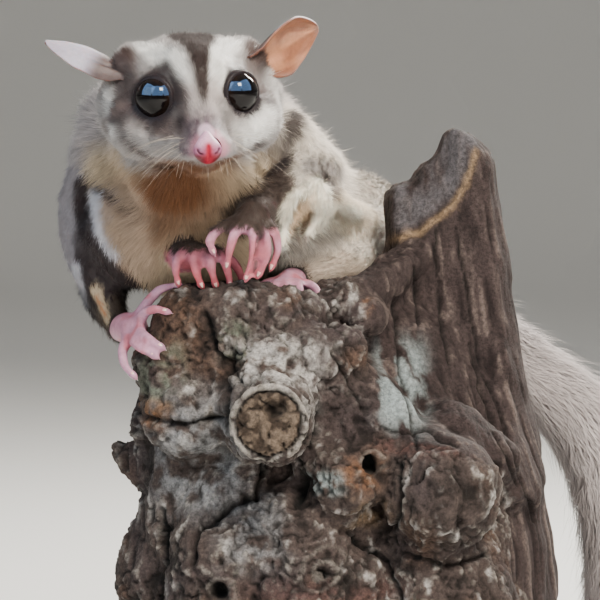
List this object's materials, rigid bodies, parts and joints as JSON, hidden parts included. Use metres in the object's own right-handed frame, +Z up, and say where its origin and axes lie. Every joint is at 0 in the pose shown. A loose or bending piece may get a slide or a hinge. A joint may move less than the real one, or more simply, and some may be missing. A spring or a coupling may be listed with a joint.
{
  "type": "sugar glider",
  "caption": "Life-size sugar glider crouched on the broken top of a stump, gripping it with hands and feet, tail hanging behind, on a plain display stand.",
  "frame": {"origin": "middle of the underside of the stand's base", "axes": "+Z up, -Y the way the animal and the camera's side face, +X to the animal's left"},
  "size_m": [0.1345, 0.1581, 0.1738],
  "materials": {
    "eye": "wet black, mirror gloss",
    "nose_skin": "moist pink skin",
    "face_fur": "short cream and grey-brown fur with dark stripes",
    "ear_skin": "thin, nearly bare pink-brown skin",
    "body_fur": "soft dense grey-brown fur, cream below",
    "membrane_fur": "short cream fur on the folded gliding membrane",
    "paw_skin": "bare pink skin",
    "tail_fur": "long soft grey fur, darker towards the tip",
    "weathered_wood": "rough grey-brown bark and weathered grain",
    "stand_wood": "satin black lacquer",
    "stand_steel": "satin"
  },
  "bodies": {
    "root": {"eye_left": "eye", "eye_right": "eye", "nose": "nose_skin", "head": "face_fur", "ear_left": "ear_skin", "ear_right": "ear_skin", "neck": "body_fur", "hand_left": "paw_skin", "hand_right": "paw_skin", "foot_left": "paw_skin", "foot_right": "paw_skin", "arm_left": "body_fur", "arm_right": "body_fur", "leg_left": "body_fur", "leg_right": "body_fur", "patagium_left": "membrane_fur", "patagium_right": "membrane_fur", "torso": "body_fur", "tail_1": "tail_fur", "tail_2": "tail_fur", "tail_3": "tail_fur", "tail_4": "tail_fur", "tail_5": "tail_fur", "perch": "weathered_wood", "stand_base": "stand_wood", "stand_rod_left": "stand_steel", "stand_rod_right": "stand_steel"}
  },
  "joints": []
}
